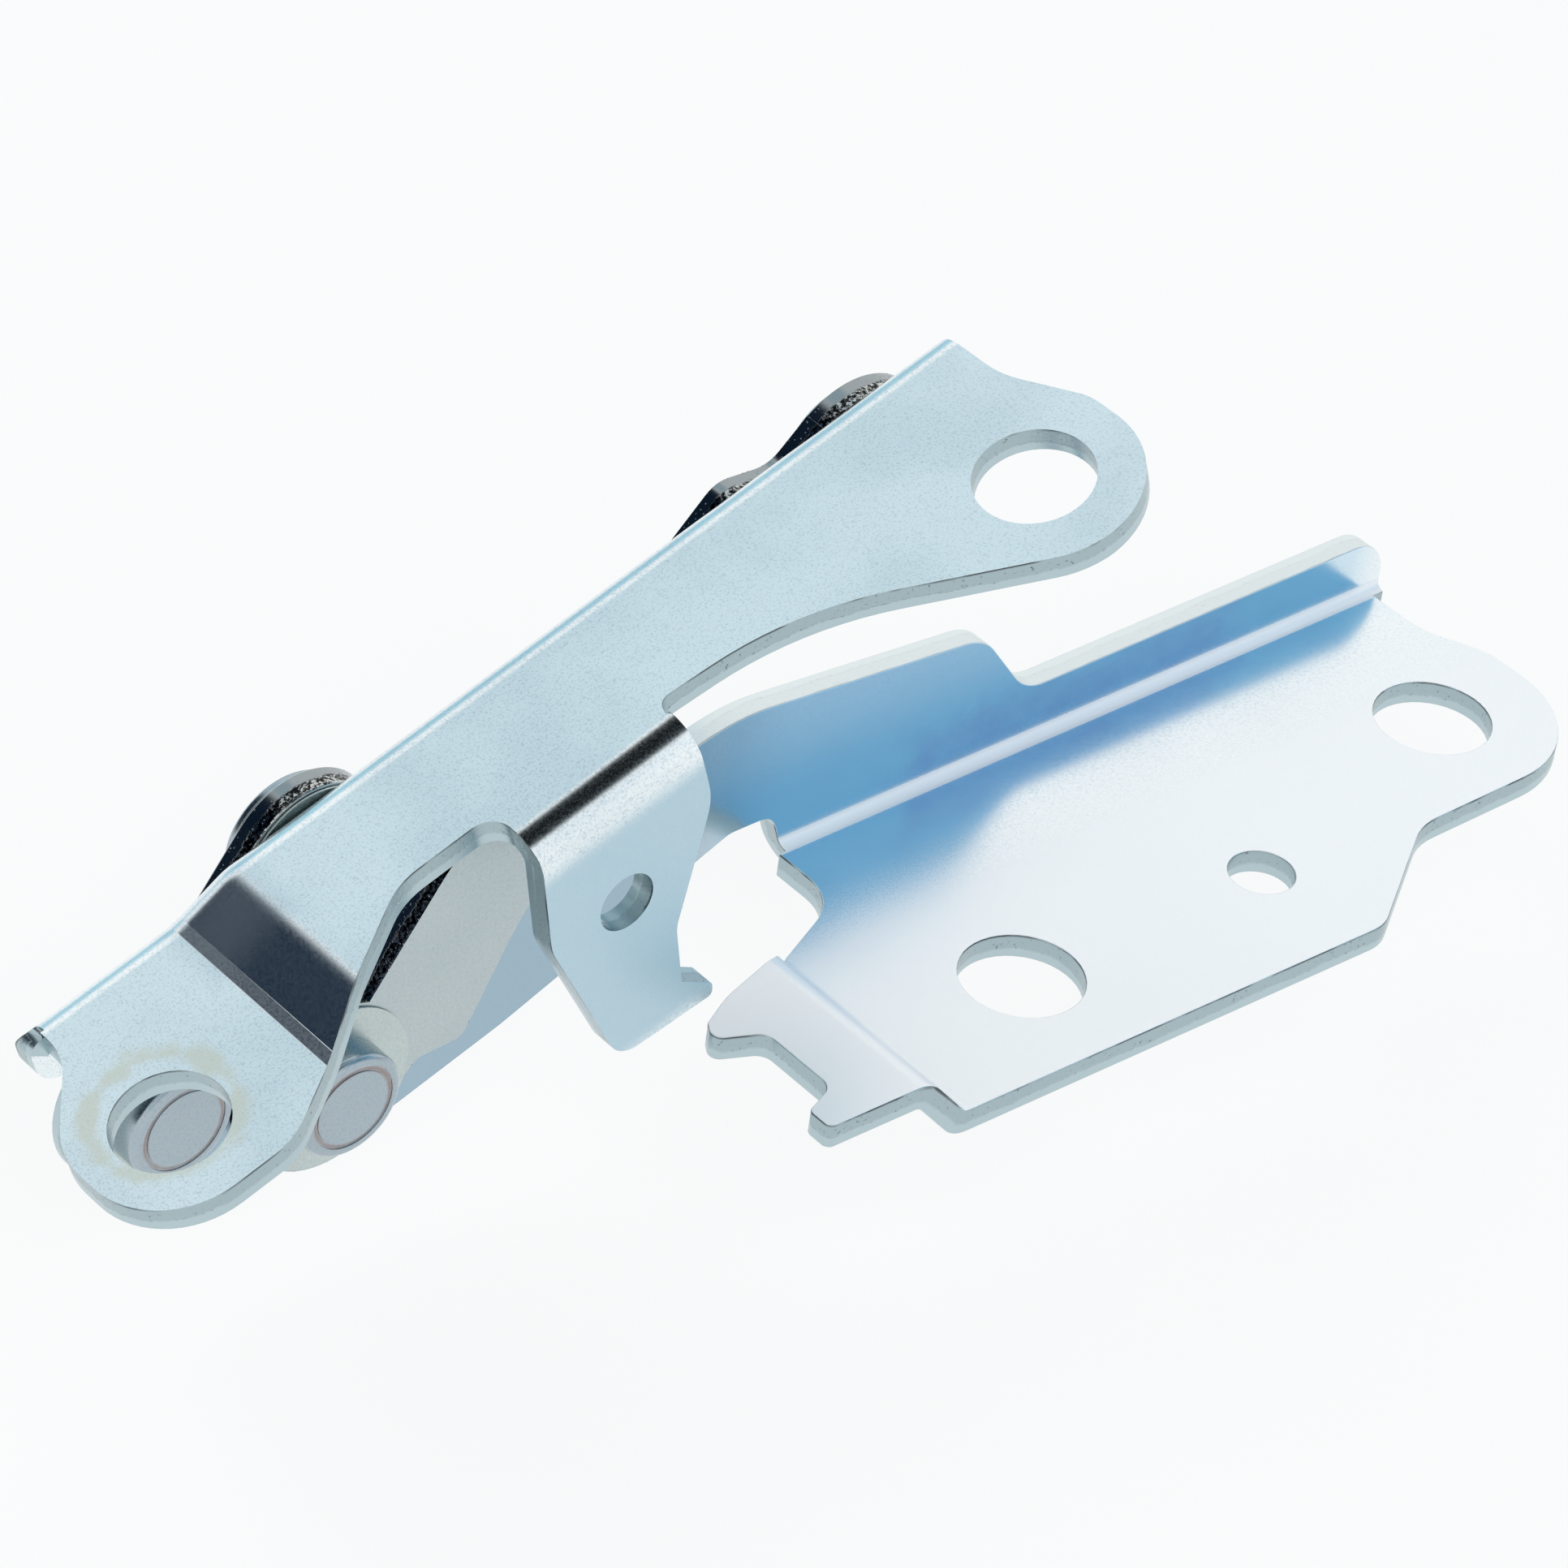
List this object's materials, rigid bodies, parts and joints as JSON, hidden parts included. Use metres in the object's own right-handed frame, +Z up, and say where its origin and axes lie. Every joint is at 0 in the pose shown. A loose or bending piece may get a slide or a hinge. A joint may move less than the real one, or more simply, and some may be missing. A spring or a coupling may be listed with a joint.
{
  "type": "hood hinge",
  "caption": "Riveted four-bar hood hinge for a car: a folded lower bracket for the body, a tilted upper bracket for the hood, and a long and a short link between them.",
  "frame": {"origin": "axis of the lower bracket's front fixing hole, on the plate's underside, which seats on the car body", "axes": "+X back along the lower bracket's fold, +Y across the plate towards its upright flange, +Z up off the car body; the pivot axes lie along Y"},
  "size_m": [0.1952, 0.0485, 0.0784],
  "materials": {
    "zinc_sheet": "satin pale blue zinc plating on pressed sheet steel",
    "zinc_link": "satin grey zinc plating on thick steel strip",
    "zinc_rivet": "satin zinc plating on cold-headed steel",
    "zinc_washer": "satin zinc plating on thin steel",
    "bearing_bronze": "plain bearing bronze"
  },
  "bodies": {
    "lower_bracket": {"lower_bracket": "zinc_sheet", "main_lower_rivet": "zinc_rivet", "short_lower_rivet": "zinc_rivet", "main_lower_washer": "zinc_washer", "short_lower_washer": "zinc_washer"},
    "main_link": {"main_link": "zinc_link", "main_lower_bush": "bearing_bronze", "main_upper_bush": "bearing_bronze"},
    "short_link": {"short_link": "zinc_link", "short_lower_bush": "bearing_bronze"},
    "upper_bracket": {"upper_bracket": "zinc_sheet", "main_upper_rivet": "zinc_rivet", "short_upper_rivet": "zinc_rivet", "main_upper_washer": "zinc_washer", "short_upper_near_washer": "zinc_washer", "short_upper_far_washer": "zinc_washer"}
  },
  "joints": [
    {"name": "main_lower_pivot", "type": "hinge", "parent": "lower_bracket", "child": "main_link", "pos_m": [-0.0674, 0.0279, 0], "axis": [0, -1, 0], "range_deg": [0, 63.8]},
    {"name": "main_upper_pivot", "type": "hinge", "parent": "main_link", "child": "upper_bracket", "pos_m": [-0.0059, 0.0279, 0.0514], "axis": [0, -1, 0], "range_deg": [-18.9, 0]},
    {"name": "short_lower_pivot", "type": "hinge", "parent": "lower_bracket", "child": "short_link", "pos_m": [-0.0883, 0.0279, 0.007], "axis": [0, -1, 0], "range_deg": [0, 106]}
  ],
  "couplings": [
    {"joint": "main_upper_pivot", "follows": "main_lower_pivot", "ratio": -0.295},
    {"joint": "short_lower_pivot", "follows": "main_lower_pivot", "ratio": 1.66}
  ]
}
